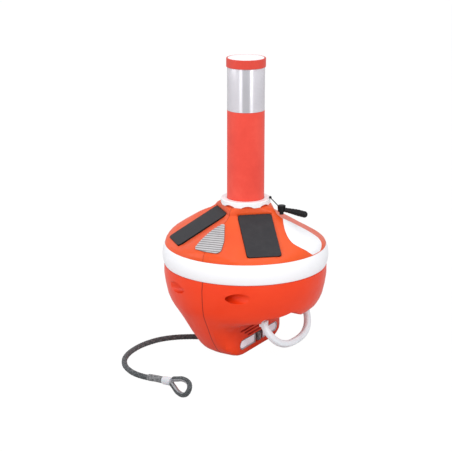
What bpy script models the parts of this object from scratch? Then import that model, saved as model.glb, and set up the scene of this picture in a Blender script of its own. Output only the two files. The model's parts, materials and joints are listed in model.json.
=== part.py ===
"""Lighted marker buoy: a floating hull that winds its own anchor rope, with a foam mast and a lamp.

Metres, +Z up. The origin is the middle of the flat keel base, on the floor. The hull is split on the
plane x = 0. The carrying handle and its scoop are on the +X side, the rope leaves on the -X side.
"""

import math

import bmesh
import bpy
from mathutils import Matrix, Vector

# ------------------------------------------------------------------ driving sizes
GAP = 0.0003                  # left between pieces that touch
HULL_STEPS = 96               # sides of the lofted hull
BELT_TOP = 0.1932             # height of the belt's upper edge above the floor
BELT_BOTTOM = 0.1566
BELT_EDGE_R = 0.1460          # belt radius at its two edges
BELT_MID_R = 0.1500           # and half way down
BELT_SEAT_R = 0.1430          # hull radius under the belt
DOME_TOP = 0.2668             # flat ring round the neck
NECK_R, NECK_TOP = 0.0405, 0.2728
SKIRT_R, COLLAR_R = 0.0410, 0.0445
COLLAR_TOP = 0.2768
MAST_R = 0.0333
SOCKET_R = 0.0340
SOCKET_FLOOR = 0.2060
SLEEVE_BOTTOM = 0.4358
CAP_BOTTOM = 0.5124
CAP_TOP = 0.5284
CAP_R = 0.0349
WALL_X = 0.0292               # flat side of the keel
WELL_HALF = 0.0240            # half width of the well that holds the drum
DRUM_R = 0.0480
DRUM_Z = 0.0688
ROPE_R = 0.0050

# the four facets of the dome, and the dark panels that stand on the two in front
FACET_SLOPE = math.radians(29.4)
FACET_AZIMUTHS = (41.55, 138.45, 221.55, 318.45)
PANEL_AZIMUTHS = {"045": 41.55, "315": 318.45}
PANEL_R, PANEL_Z = 0.0872, 0.2300          # middle of a panel's upper face
PANEL_WIDE, PANEL_LONG, PANEL_THICK, PANEL_CORNER = 0.0610, 0.1040, 0.0031, 0.0058
PANEL_ASIDE = 0.0077                       # how far each stands off towards its sign plate
FACET_UNDER = 0.0027                       # the facet lies this far under the panel's face
# the ridges beside them, with the sign plate at 90 degrees and the ribbed window at 0
RIDGE_SLOPE = math.radians(32.0)
PLATE_AT = (0.1205, 0.2209)   # radius and height of the plate's round middle
PLATE_R, PLATE_TIP = 0.0355, 0.0515   # half its width, and its tip above the middle
WINDOW_AT = (0.1080, 0.2285)

parts = bpy.data.collections.new("lighted_marker_buoy")
cutters = bpy.data.collections.new("cutters")


def clear_scene():
    """An empty file with the two collections."""
    for item in list(bpy.data.objects):
        bpy.data.objects.remove(item)
    bpy.context.scene.collection.children.link(parts)
    bpy.context.scene.collection.children.link(cutters)


def finish(name, color, roughness, metallic=0.0):
    """A plain Principled material."""
    made = bpy.data.materials.new(name)
    made.use_nodes = True
    shader = made.node_tree.nodes["Principled BSDF"]
    shader.inputs["Base Color"].default_value = (*color, 1.0)
    shader.inputs["Roughness"].default_value = roughness
    shader.inputs["Metallic"].default_value = metallic
    return made


def add(name, data, material=None, matrix=None):
    """A visible part."""
    made = bpy.data.objects.new(name, data)
    parts.objects.link(made)
    if matrix is not None:
        made.matrix_world = matrix
    if material is not None:
        data.materials.append(material)
    return made


def hide(item):
    """Turns an object into a cutter."""
    for collection in list(item.users_collection):
        collection.objects.unlink(item)
    cutters.objects.link(item)
    item.hide_render = True
    item.display_type = "WIRE"
    return item


def boolean(item, other, operation="DIFFERENCE"):
    step = item.modifiers.new(other.name, "BOOLEAN")
    step.object = other
    step.operation = operation
    step.solver = "EXACT"


def smooth(item, angle=32):
    item.data.shade_smooth()
    item.data.set_sharp_from_angle(angle=math.radians(angle))


def block(name, low, high):
    """A box between two corners, as a mesh."""
    shape = bmesh.new()
    bmesh.ops.create_cube(shape, size=1.0)
    size = [b - a for a, b in zip(low, high)]
    middle = [(a + b) / 2 for a, b in zip(low, high)]
    bmesh.ops.scale(shape, vec=size, verts=shape.verts)
    bmesh.ops.translate(shape, vec=middle, verts=shape.verts)
    mesh = bpy.data.meshes.new(name)
    shape.to_mesh(mesh)
    shape.free()
    return mesh


def rod(name, radius, length, axis="Z", at=(0, 0, 0), sides=24, radius_2=None):
    """A cylinder or cone along an axis, centred on a point, as a mesh."""
    shape = bmesh.new()
    tip = radius if radius_2 is None else radius_2
    bmesh.ops.create_cone(
        shape, cap_ends=True, segments=sides, radius1=radius, radius2=tip, depth=length
    )
    turn = {"Z": Matrix(), "X": Matrix.Rotation(math.pi / 2, 4, "Y"), "Y": Matrix.Rotation(-math.pi / 2, 4, "X")}
    bmesh.ops.transform(shape, matrix=Matrix.Translation(at) @ turn[axis], verts=shape.verts)
    mesh = bpy.data.meshes.new(name)
    shape.to_mesh(mesh)
    shape.free()
    return mesh


def turned(name, profile, steps, material=None):
    """A profile of (radius, height) points, outer side top to bottom, turned about Z."""
    mesh = bpy.data.meshes.new(name)
    edges = [(i, i + 1) for i in range(len(profile) - 1)]
    mesh.from_pydata([(r, 0, z) for r, z in profile], edges, [])
    made = add(name, mesh, material)
    screw = made.modifiers.new("turn", "SCREW")
    screw.axis = "Z"
    screw.steps = screw.render_steps = steps
    screw.use_merge_vertices = True
    screw.merge_threshold = 0.00001
    screw.use_smooth_shade = True
    return made


def baked(item, name):
    """The evaluated object as a new mesh object, with its doubles welded."""
    bpy.context.view_layer.update()
    seen = item.evaluated_get(bpy.context.evaluated_depsgraph_get())
    mesh = bpy.data.meshes.new_from_object(seen)
    mesh.name = name
    shape = bmesh.new()
    shape.from_mesh(mesh)
    bmesh.ops.remove_doubles(shape, verts=shape.verts, dist=0.00001)
    shape.to_mesh(mesh)
    shape.free()
    made = bpy.data.objects.new(name, mesh)
    parts.objects.link(made)
    made.matrix_world = item.matrix_world.copy()
    bpy.data.objects.remove(item)
    return made


def outline_curve(name, points, thickness):
    """A flat closed outline in XY, filled and thickened about z = 0."""
    curve = bpy.data.curves.new(name, "CURVE")
    curve.dimensions = "2D"
    curve.fill_mode = "BOTH"
    curve.extrude = thickness / 2
    line = curve.splines.new("POLY")
    line.points.add(len(points) - 1)
    for spot, (x, y) in zip(line.points, points):
        spot.co = (x, y, 0, 1)
    line.use_cyclic_u = True
    return curve


def rounded(corners, radii, steps=5):
    """A closed polygon with each corner turned into an arc."""
    points = []
    count = len(corners)
    for i, (corner, radius) in enumerate(zip(corners, radii)):
        here = Vector(corner)
        back = (Vector(corners[i - 1]) - here).normalized()
        on = (Vector(corners[(i + 1) % count]) - here).normalized()
        half = back.angle(on) / 2
        start = here + back * radius / math.tan(half)
        end = here + on * radius / math.tan(half)
        centre = here + (back + on).normalized() * radius / math.sin(half)
        for k in range(steps + 1):
            arm = (start - centre).lerp(end - centre, k / steps).normalized() * radius
            points.append(tuple(centre + arm))
    return points


def on_slope(azimuth, radius, height, slope):
    """Frame on the dome: X along the slope's level line, Y up the slope, Z out of it."""
    turn = math.radians(azimuth)
    out = Vector((math.sin(turn), -math.cos(turn), 0))
    side = Vector((math.cos(turn), math.sin(turn), 0))
    up = -out * math.cos(slope) + Vector((0, 0, math.sin(slope)))
    face = side.cross(up)
    spot = out * radius + Vector((0, 0, height))
    frame = Matrix((side, up, face)).transposed().to_4x4()
    return Matrix.Translation(spot) @ frame


def curve_tube(name, points, radius, resolution=2, material=None, shares=None):
    """A tube along points, with filled caps. Shares scale the radius at each point."""
    curve = bpy.data.curves.new(name, "CURVE")
    curve.dimensions = "3D"
    curve.bevel_depth = radius
    curve.bevel_resolution = resolution
    curve.use_fill_caps = True
    line = curve.splines.new("POLY")
    line.points.add(len(points) - 1)
    for spot, place, share in zip(line.points, points, shares or [1.0] * len(points)):
        spot.co = (*place, 1)
        spot.radius = share
    return add(name, curve, material)


def through(points, step):
    """Points every step along a smooth curve through the given ones."""
    knots = [Vector(p) for p in points]
    knots = [knots[0] * 2 - knots[1]] + knots + [knots[-1] * 2 - knots[-2]]
    fine = []
    for a, b, c, d in zip(knots, knots[1:], knots[2:], knots[3:]):
        for k in range(20):
            t = k / 20
            fine.append(
                0.5 * (2 * b + (c - a) * t + (2 * a - 5 * b + 4 * c - d) * t * t + (3 * b - a - 3 * c + d) * t ** 3)
            )
    fine.append(knots[-2])
    length = sum((b - a).length for a, b in zip(fine, fine[1:]))
    count = max(2, round(length / step))
    even, walked, goal = [fine[0]], 0.0, length / count
    for a, b in zip(fine, fine[1:]):
        piece = (b - a).length
        while walked + piece >= goal * len(even) and len(even) < count:
            even.append(a.lerp(b, (goal * len(even) - walked) / piece))
        walked += piece
    even.append(fine[-1])
    return even


# ------------------------------------------------------------------ finishes
ORANGE = finish("hull_orange", (0.84, 0.10, 0.035), 0.42)
FOAM = finish("mast_foam_red", (0.82, 0.075, 0.045), 0.75)
WHITE = finish("white_plastic", (0.88, 0.88, 0.90), 0.40)
CHARCOAL = finish("charcoal_panel", (0.055, 0.056, 0.060), 0.62)
CLEAR = finish("ribbed_window", (0.62, 0.62, 0.60), 0.30)
SILVER = finish("reflective_sleeve", (0.70, 0.69, 0.72), 0.28, 0.4)
STEEL = finish("steel", (0.62, 0.62, 0.63), 0.25, 1.0)
BLACK = finish("black_cord", (0.02, 0.02, 0.022), 0.55)
ROPE = finish("grey_rope", (0.16, 0.16, 0.16), 0.85)
DRUM_GREY = finish("drum_grey", (0.35, 0.35, 0.36), 0.45)

# (height, radius) of the dome's ridges and of the bowl, and how far the bow and stern stand out of the bowl
RIDGE = [
    (0.1935, 0.1455), (0.2008, 0.1445), (0.2063, 0.1418), (0.2111, 0.1370), (0.2213, 0.1225), (0.2378, 0.0972),
    (0.2668, 0.0488),
]
BOWL = [
    (0.0, 0.0650), (0.0012, 0.0698), (0.0040, 0.0758), (0.0095, 0.0824), (0.0158, 0.0868), (0.0308, 0.0958),
    (0.0473, 0.1056), (0.0635, 0.1155), (0.0793, 0.1260), (0.0918, 0.1350), (0.1048, 0.1405), (0.1228, 0.1445),
    (0.1398, 0.1470), (0.1563, 0.1468),
]
BOW = [
    (0.0, 0.0), (0.0040, 0.0030), (0.0095, 0.0065), (0.0158, 0.0099), (0.0258, 0.0122), (0.0378, 0.0137),
    (0.0508, 0.0138), (0.0678, 0.0117), (0.0838, 0.0098), (0.1048, 0.0055), (0.1238, 0.0035), (0.1428, 0.0015),
    (0.1563, 0.0),
]
LEVELS_BELOW = [
    0.0, 0.0012, 0.0040, 0.0095, 0.0158, 0.0230, 0.0308, 0.0390, 0.0473, 0.0555, 0.0635, 0.0715, 0.0793, 0.0870,
    0.0950, 0.1048, 0.1138, 0.1228, 0.1398, 0.1563,
]
LEVELS_ABOVE = [
    0.1935, 0.1985, 0.2025, 0.2063, 0.2111, 0.2162, 0.2213, 0.2268, 0.2323, 0.2378, 0.2433, 0.2488, 0.2543, 0.2600,
    0.2640, 0.2668,
]
KEEL_FROM, KEEL_TO = 0.0500, 0.0830        # between these heights the flat-sided keel swells into the bowl


def between(table, at):
    """A value read from a table of (place, value)."""
    for (a, low), (b, high) in zip(table, table[1:]):
        if at <= b:
            return low + (high - low) * (at - a) / (b - a)
    return table[-1][1]


def eased(t):
    t = min(1.0, max(0.0, t))
    return t * t * (3 - 2 * t)


def dome_radius(turn, height):
    """Radius of the dome: the ridges' cone, with four flat facets cut into it under the collar ring."""
    rise = PANEL_Z - FACET_UNDER * math.cos(FACET_SLOPE)
    out = PANEL_R - FACET_UNDER * math.sin(FACET_SLOPE)
    flat = out + (rise - height) / math.tan(FACET_SLOPE)
    flat += max(0.0, 0.2048 - height) * 1.5
    boss = 0.0425
    flat = (max(flat, 0.001) ** 16 + boss ** 16) ** (1 / 16)
    angle = math.degrees(turn) % 360
    off = min(abs((angle - facet + 180) % 360 - 180) for facet in FACET_AZIMUTHS)
    flat /= math.cos(math.radians(min(off, 60.0)))
    ridge = between(RIDGE, height)
    return (flat ** -22 + ridge ** -22) ** (-1 / 22)


def bowl_radius(turn, height):
    """Radius of the bowl: round above, with a bow and a stern, and flat-sided below on the handle side."""
    side, along = math.sin(turn), abs(math.cos(turn))
    off = math.degrees(math.atan2(abs(side), along))
    swell = math.cos(math.radians(90 * min(1.0, off / 58))) ** 2
    stands_out = between(BOW, height)
    if math.cos(turn) < 0:                     # the far end's foot is drawn in
        stands_out *= 0.1 + 0.9 * eased((height - 0.020) / 0.048)
    reach = between(BOWL, height) + stands_out
    bowl = between(BOWL, height) + stands_out * swell
    if side <= 0.0001:
        return bowl
    power = 3.4 + 7 * (1 - eased(height / 0.036))
    half = WALL_X + 0.0011 - 0.0026 * (1 - min(1.0, height / 0.0070))
    keel = ((side / half) ** power + (along / reach) ** power) ** (-1 / power)
    return bowl + (keel - bowl) * (1 - eased((height - KEEL_FROM) / (KEEL_TO - KEEL_FROM)))


def hull_solid(name, lift=0.0):
    """The whole hull as one loft from the keel base to the neck, with the belt's seat, raised by lift."""
    rows = []
    turns = [2 * math.pi * k / HULL_STEPS for k in range(HULL_STEPS)]
    for height in LEVELS_BELOW:
        rows.append([(bowl_radius(t, height), height) for t in turns])
    rows.append([(BELT_SEAT_R, BELT_BOTTOM - GAP)] * HULL_STEPS)
    rows.append([(BELT_SEAT_R, BELT_TOP + GAP)] * HULL_STEPS)
    for height in LEVELS_ABOVE:
        rows.append([(dome_radius(t, height), height) for t in turns])
    rows.append([(NECK_R, DOME_TOP)] * HULL_STEPS)
    rows.append([(NECK_R, NECK_TOP)] * HULL_STEPS)
    shape = bmesh.new()
    rings = []
    for row in rows:
        rings.append([
            shape.verts.new((r * math.sin(t), -r * math.cos(t), z + lift)) for t, (r, z) in zip(turns, row)
        ])
    for low, high in zip(rings, rings[1:]):
        for k in range(HULL_STEPS):
            after = (k + 1) % HULL_STEPS
            shape.faces.new((low[k], low[after], high[after], high[k]))
    shape.faces.new(list(reversed(rings[0])))
    shape.faces.new(rings[-1])
    bmesh.ops.recalc_face_normals(shape, faces=shape.faces)
    mesh = bpy.data.meshes.new(name)
    shape.to_mesh(mesh)
    shape.free()
    return add(name, mesh, ORANGE)


def panel_frame(azimuth):
    """Frame on a facet: origin in the middle of its panel's upper face."""
    aside = PANEL_ASIDE if azimuth < 180 else -PANEL_ASIDE
    return on_slope(azimuth, PANEL_R, PANEL_Z, FACET_SLOPE) @ Matrix.Translation((aside, 0, 0))


def panel_seat_cutter(azimuth):
    """The shallow flat seat of one dark panel."""
    half_w, half_l = PANEL_WIDE / 2 + 0.0004, PANEL_LONG / 2 + 0.0004
    seat = add(f"seat_cut_{azimuth:.0f}", block("seat_cut", (-half_w, -half_l, -PANEL_THICK - GAP), (half_w, half_l, 0.030)))
    seat.matrix_world = panel_frame(azimuth)
    return hide(seat)


def scoop_cutter():
    """What is scooped out beside the keel wall: an arched outline in YZ, run out along X."""
    half = [
        (0.0700, -0.0050), (0.0700, 0.0530), (0.0780, 0.0640), (0.0860, 0.0740), (0.0940, 0.0830), (0.0960, 0.0870),
        (0.0940, 0.0892), (0.0820, 0.0896), (0.0720, 0.0906), (0.0640, 0.0930), (0.0560, 0.0962), (0.0480, 0.0962),
        (0.0380, 0.0922), (0.0260, 0.0850), (0.0140, 0.0806),
    ]
    outline = half + [(-y, z) for y, z in reversed(half)]
    curve = outline_curve("scoop_outline", outline, 0.2)
    item = add("scoop_outline", curve)
    item.matrix_world = facing_x(WALL_X + 0.1, 0, 0)
    return hide(baked(item, "scoop_cut"))


def rope_arch_cutter():
    """The low arch on the rope side through which the rope leaves the keel."""
    corners = [(-0.045, -0.005), (0.045, -0.005), (0.045, 0.038), (-0.045, 0.038)]
    outline = rounded(corners, (0.001, 0.001, 0.016, 0.016))
    item = add("arch_outline", outline_curve("arch_outline", outline, 0.1))
    item.matrix_world = facing_x(-WALL_X - 0.05, 0, 0)
    return hide(baked(item, "rope_arch_cut"))


def stadium(long, tall, steps=8):
    """A slot outline with round ends, about the origin."""
    r = tall / 2
    reach = long / 2 - r
    right = [(reach + r * math.cos(a), r * math.sin(a)) for a in arc_angles(-90, 90, steps)]
    left = [(-reach + r * math.cos(a), r * math.sin(a)) for a in arc_angles(90, 270, steps)]
    return right + left


def arc_angles(start, end, steps):
    return [math.radians(start + (end - start) * k / steps) for k in range(steps + 1)]


def facing_x(x, y, z):
    """Frame whose XY plane stands at x, with its own X along +Y and its Y up."""
    frame = Matrix(((0, 0, 1, 0), (1, 0, 0, 0), (0, 1, 0, 0), (0, 0, 0, 1)))
    return Matrix.Translation((x, y, z)) @ frame


# vents above the window in the keel wall: height and half length; then the window itself
VENTS = ((0.0456, 0.0655), (0.0393, 0.0520), (0.0328, 0.0400))
VENT_TALL = 0.0033
SLOT_Z, SLOT_LONG, SLOT_TALL, SLOT_DEEP = 0.0193, 0.1360, 0.0185, 0.0030
MOUTH_HALF, MOUTH_TALL = 0.0120, 0.0176


def wall_cutters():
    """Vents, the shallow oblong recess and its middle mouth, through the handle side's keel wall."""
    made = []
    for i, (height, half) in enumerate(VENTS):
        outline = add(f"vent_outline_{i}", outline_curve("vent_outline", stadium(2 * half, VENT_TALL, 4), 0.013))
        outline.matrix_world = facing_x(WALL_X - 0.0015, 0, height)
        made.append(hide(baked(outline, f"vent_cut_{i}")))
    recess = add("recess_outline", outline_curve("recess_outline", stadium(SLOT_LONG, SLOT_TALL), 0.01))
    recess.matrix_world = facing_x(WALL_X + 0.005 - SLOT_DEEP, 0, SLOT_Z)
    made.append(hide(baked(recess, "recess_cut")))
    low = (WELL_HALF - 0.004, -MOUTH_HALF, SLOT_Z - MOUTH_TALL / 2)
    high = (WALL_X + 0.004, MOUTH_HALF, SLOT_Z + MOUTH_TALL / 2)
    made.append(hide(add("mouth_cut", block("mouth_cut", low, high))))
    return made


# screw pockets: sunk along X into the bowl, two near the bow and two near the stern: (y, z)
POCKETS = ((-0.1324, 0.1330), (0.1324, 0.1330))
POCKET_R, POCKET_FLOOR = 0.0095, 0.0220


def pocket_cutter(side, y, z, i):
    name = f"pocket_cut_{'right' if side > 0 else 'left'}_{i}"
    length = 0.1
    at = (side * (POCKET_FLOOR + length / 2), y, z)
    return hide(add(name, rod(name, POCKET_R, length, "X", at)))


def hull_half(name, side, extra):
    """One moulded half of the hull, with its share of the drum well."""
    half = hull_solid(name)
    reach = 0.4
    low, high = (GAP / 2, reach) if side > 0 else (-reach, -GAP / 2)
    keep = hide(add(f"{name}_keep", block(f"{name}_keep", (low, -reach, -0.1), (high, reach, 0.5))))
    boolean(half, keep, "INTERSECT")
    for cutter in extra:
        boolean(half, cutter)
    return half


def build_hull():
    seats = [panel_seat_cutter(azimuth) for azimuth in PANEL_AZIMUTHS.values()]
    well = hide(add("well_cut", rod("well_cut", DRUM_R + 0.0050, 2 * WELL_HALF, "X", (0, 0, DRUM_Z), 48)))
    axle = hide(add("axle_cut", rod("axle_cut", 0.0053, 2 * WALL_X - 0.004, "X", (0, 0, DRUM_Z), 16)))
    depth = NECK_TOP + 0.01 - SOCKET_FLOOR
    socket = hide(add("socket_cut", rod("socket_cut", SOCKET_R, depth, "Z", (0, 0, SOCKET_FLOOR + depth / 2), 48)))
    shared = seats + [well, axle, socket]
    right = [pocket_cutter(1, y, z, i) for i, (y, z) in enumerate(POCKETS)]
    left = [pocket_cutter(-1, y, z, i) for i, (y, z) in enumerate(POCKETS)]
    hull_half("hull_half_handle_side", 1, shared + [scoop_cutter()] + wall_cutters() + right)
    mouth = hide(add("rope_mouth_cut", rod("rope_mouth_cut", 0.0090, 0.02, "X", (-WALL_X, -0.0080, 0.0200))))
    hull_half("hull_half_rope_side", -1, shared + [rope_arch_cutter(), mouth] + left)


def build_belt():
    inner = BELT_SEAT_R + GAP
    middle = (BELT_TOP + BELT_BOTTOM) / 2
    half = (BELT_TOP - BELT_BOTTOM) / 2
    crown = [
        (BELT_EDGE_R + (BELT_MID_R - BELT_EDGE_R) * (1 - t * t), middle + half * t)
        for t in (1.0, 0.85, 0.6, 0.3, 0.0, -0.3, -0.6, -0.85, -1.0)
    ]
    profile = [(inner, BELT_TOP)] + crown + [(inner, BELT_BOTTOM), (inner, BELT_TOP)]
    turned("belt", profile, HULL_STEPS, WHITE)


NOTCHES, NOTCH_FIRST, NOTCH_R, NOTCH_DEEP = 8, 35, 0.0200, 0.0033


def build_collar():
    """The castellated ring nut round the mast: a ring over the neck, with a notched skirt."""
    inner = MAST_R + 0.0006
    step = NECK_TOP + GAP
    foot = DOME_TOP + GAP
    profile = [
        (inner, COLLAR_TOP), (COLLAR_R - 0.0010, COLLAR_TOP), (COLLAR_R, COLLAR_TOP - 0.0010), (COLLAR_R, foot),
        (SKIRT_R, foot), (SKIRT_R, step), (inner, step), (inner, COLLAR_TOP),
    ]
    collar = turned("collar", profile, 96, WHITE)
    for k in range(NOTCHES):
        turn = math.radians(NOTCH_FIRST + 360 * k / NOTCHES)
        name = f"notch_cut_{k}"
        notch = add(name, rod(name, NOTCH_R, 0.0200, "Y", (0, -SKIRT_R, 0), 64))
        notch.matrix_world = Matrix.Translation((0, 0, foot + NOTCH_DEEP - NOTCH_R)) @ Matrix.Rotation(turn, 4, "Z")
        boolean(collar, hide(notch))


def build_mast():
    foot = SOCKET_FLOOR + GAP
    thin = 0.0012
    mast = [
        (0, CAP_BOTTOM - GAP), (MAST_R - thin, CAP_BOTTOM - GAP), (MAST_R - thin, SLEEVE_BOTTOM),
        (MAST_R, SLEEVE_BOTTOM), (MAST_R, foot), (0, foot),
    ]
    turned("mast_tube", mast, 48, FOAM)
    sleeve = [
        (MAST_R - thin + GAP, CAP_BOTTOM - GAP), (MAST_R, CAP_BOTTOM - GAP), (MAST_R, SLEEVE_BOTTOM + GAP),
        (MAST_R - thin + GAP, SLEEVE_BOTTOM + GAP), (MAST_R - thin + GAP, CAP_BOTTOM - GAP),
    ]
    turned("reflective_sleeve", sleeve, 48, SILVER)
    dish = CAP_R - 0.0022
    cap = [
        (0, CAP_TOP - 0.0030), (dish, CAP_TOP - 0.0030), (dish, CAP_TOP), (CAP_R, CAP_TOP),
        (CAP_R, CAP_BOTTOM), (0, CAP_BOTTOM),
    ]
    turned("mast_cap", cap, 48, FOAM)
    lens = [
        (0, CAP_TOP + 0.0006), (dish - 0.0010, CAP_TOP + 0.0002), (dish - GAP, CAP_TOP - 0.0006),
        (dish - GAP, CAP_TOP - 0.0030 + GAP), (0, CAP_TOP - 0.0030 + GAP),
    ]
    turned("lamp_lens", lens, 48, WHITE)


def build_panels():
    half_w, half_l = PANEL_WIDE / 2, PANEL_LONG / 2
    corners = [(-half_w, -half_l), (half_w, -half_l), (half_w, half_l), (-half_w, half_l)]
    outline = rounded(corners, [PANEL_CORNER] * 4)
    for name, azimuth in PANEL_AZIMUTHS.items():
        frame = panel_frame(azimuth) @ Matrix.Translation((0, 0, -PANEL_THICK / 2))
        add(f"dark_panel_{name}", outline_curve("dark_panel", outline, PANEL_THICK), CHARCOAL, frame)


def skin_piece(name, outline, frame, material, low, high):
    """A sheet that lies on the hull inside an outline: what the outline's prism keeps between two raised hulls."""
    item = add(f"{name}_outline", outline_curve(f"{name}_outline", outline, 0.05), None, frame)
    sheet = baked(item, name)
    sheet.data.materials.append(material)
    boolean(sheet, high, "INTERSECT")
    boolean(sheet, low)
    return sheet


def pear_outline():
    """The plate's outline: half a disc, slightly squared, drawn out above to a rounded tip up the slope."""
    full = 2 / 2.2
    below = [
        (PLATE_R * math.copysign(abs(math.sin(a)) ** full, a), -0.0364 * math.cos(a) ** full)
        for a in arc_angles(-88, 88, 36)
    ]
    steps = [k / 18 for k in range(18)] + [0.968, 0.984]
    right = [(PLATE_R * (1 - t ** 1.6), PLATE_TIP * t) for t in steps]
    return below + right + [(-x, y) for x, y in reversed(right)]


def build_plate(under):
    over = hide(hull_solid("plate_face", 0.0013))
    skin_piece("sign_plate", pear_outline(), on_slope(90, *PLATE_AT, RIDGE_SLOPE), WHITE, under, over)


def window_outline():
    """A rounded triangle with full sides, pointed up the slope."""
    corners = [
        (-0.0258, -0.0312), (0.0, -0.0366), (0.0280, -0.0325), (0.0205, -0.0020), (0.0010, 0.0385),
        (-0.0150, 0.0215), (-0.0232, -0.0030),
    ]
    return rounded(corners, (0.0075, 0.0500, 0.0095, 0.0800, 0.0046, 0.0400, 0.0600), 6)


def build_window(under):
    over = hide(hull_solid("window_face", 0.0019))
    skin_piece("ribbed_window", window_outline(), on_slope(0, *WINDOW_AT, RIDGE_SLOPE), CLEAR, under, over)


def build_drum():
    """The rope drum: a spool turning on a fixed axle, and the rope wound on it."""
    half = WELL_HALF - 0.0050
    flange = 0.0030
    hub = 0.0180
    bore = 0.0056
    profile = [
        (bore, half), (DRUM_R, half), (DRUM_R, half - flange), (hub, half - flange), (hub, -half + flange),
        (DRUM_R, -half + flange), (DRUM_R, -half), (bore, -half), (bore, half),
    ]
    lay = Matrix.Translation((0, 0, DRUM_Z)) @ Matrix.Rotation(math.pi / 2, 4, "Y")
    spool = turned("drum_spool", profile, 48, DRUM_GREY)
    spool.matrix_world = lay
    wide = half - flange - GAP
    pack = [(hub + GAP, wide), (DRUM_R - 0.0030, wide), (DRUM_R - 0.0030, -wide), (hub + GAP, -wide), (hub + GAP, wide)]
    wound = turned("wound_rope", pack, 48, ROPE)
    wound.matrix_world = lay
    add("drum_axle", rod("drum_axle", 0.0050, 2 * WALL_X - 0.0050, "X", (0, 0, DRUM_Z), 16), STEEL)


def half_stadium(sign, start, reach, tall):
    """A slot outline that is square at its inner end and round at its outer end, on one side of the middle."""
    end = [(x, y) for x, y in stadium(2 * reach, tall) if x > 0]
    outline = [(sign * x, y) for x, y in [(start, -tall / 2)] + end + [(start, tall / 2)]]
    return outline if sign > 0 else list(reversed(outline))


def build_wall_trim():
    """The two bezels in the oblong window and their blank label plates, one on each side of the rope's mouth."""
    start, reach, tall = MOUTH_HALF + 0.0006, SLOT_LONG / 2 - GAP, SLOT_TALL - 2 * GAP
    rim = 0.0015
    for name, sign in (("near", -1), ("far", 1)):
        curve = outline_curve(f"window_bezel_{name}", half_stadium(sign, start, reach, tall), 0.0030)
        hole = curve.splines.new("POLY")
        inner = half_stadium(sign, start + rim, reach - rim, tall - 2 * rim)
        hole.points.add(len(inner) - 1)
        for spot, (x, y) in zip(hole.points, inner):
            spot.co = (x, y, 0, 1)
        hole.use_cyclic_u = True
        add(f"window_bezel_{name}", curve, STEEL, facing_x(WALL_X - SLOT_DEEP + 0.0015 + GAP, 0, SLOT_Z))
        rim_in = rim + GAP
        shape = half_stadium(sign, start + rim_in, reach - rim_in, tall - 2 * rim_in)
        label = outline_curve(f"label_plate_{name}", shape, 0.0010)
        add(f"label_plate_{name}", label, WHITE, facing_x(WALL_X - SLOT_DEEP + 0.0005 + GAP, 0, SLOT_Z))


def build_bight():
    """The run of rope that shows in the window's mouth, between its two label plates."""
    foot, top = SLOT_Z - MOUTH_TALL / 2 + 0.0004, SLOT_Z + MOUTH_TALL / 2 - 0.0004
    steps = [(foot, 0.0021), (foot + 0.0015, 0.0044), (foot + 0.0045, 0.0052)]
    profile = [(0, top)] + [(r, top + foot - z) for z, r in steps] + [(r, z) for z, r in reversed(steps)] + [(0, foot)]
    bight = turned("rope_bight", profile, 20, ROPE)
    bight.matrix_world = Matrix.Translation((WALL_X - 0.0020, 0.0020, 0))


def build_bolts():
    for side in (1, -1):
        for y, z in POCKETS:
            name = f"seam_bolt_{'right' if side > 0 else 'left'}_{'near' if y < 0 else 'far'}"
            at = (side * (POCKET_FLOOR + 0.0023), y, z)
            add(name, rod(name, 0.0060, 0.0040, "X", at, 12), STEEL)


# ------------------------------------------------------------------ handle
HINGE_X, HINGE_Z, HINGE_Y = 0.0770, 0.0788, 0.0735
HANDLE_OUT, HANDLE_LOW = 0.0290, 0.0540
HANDLE_SQUARE = 2.55
HANDLE_WIDE, HANDLE_DEEP = 0.0122, 0.0114  # the bar's section, in the hoop's plane and across it
BARREL_HALF, BARREL_R = 0.0066, 0.0058
KNUCKLE_DROP, KNUCKLE_OUT = 0.0098, 0.0096   # how far the square knuckle reaches below and outside the hinge


def handle_line():
    """The hoop's middle line about the hinge axis, from one hinge to the other, a superellipse in a leaning plane."""
    points = []
    for k in range(37):
        turn = math.pi * k / 36
        down = abs(math.sin(turn)) ** (2 / HANDLE_SQUARE)
        across = abs(math.cos(turn)) ** (2 / HANDLE_SQUARE) * (1 if math.cos(turn) >= 0 else -1)
        points.append((HANDLE_OUT * down, -HINGE_Y * across, -HANDLE_LOW * down))
    return points


def handle_bar():
    """The hoop: a rounded oblong section carried along the line, square to it."""
    lean = Vector((HANDLE_OUT, 0, -HANDLE_LOW)).normalized()
    flat = Vector((0, 1, 0)).cross(lean)
    half_w, half_d = HANDLE_WIDE / 2, HANDLE_DEEP / 2
    corners = [(-half_w, -half_d), (half_w, -half_d), (half_w, half_d), (-half_w, half_d)]
    section = rounded(corners, [0.0040] * 4, 4)
    line = [Vector(p) for p in handle_line()]
    shape = bmesh.new()
    rings = []
    for i, here in enumerate(line):
        way = (line[min(i + 1, len(line) - 1)] - line[max(i - 1, 0)]).normalized()
        across = flat.cross(way)
        rings.append([shape.verts.new(here + across * u + flat * v) for u, v in section])
    for low, high in zip(rings, rings[1:]):
        for k in range(len(section)):
            after = (k + 1) % len(section)
            shape.faces.new((low[k], low[after], high[after], high[k]))
    shape.faces.new(list(reversed(rings[0])))
    shape.faces.new(rings[-1])
    bmesh.ops.recalc_face_normals(shape, faces=shape.faces)
    mesh = bpy.data.meshes.new("handle_hoop")
    shape.to_mesh(mesh)
    shape.free()
    return mesh


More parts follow.
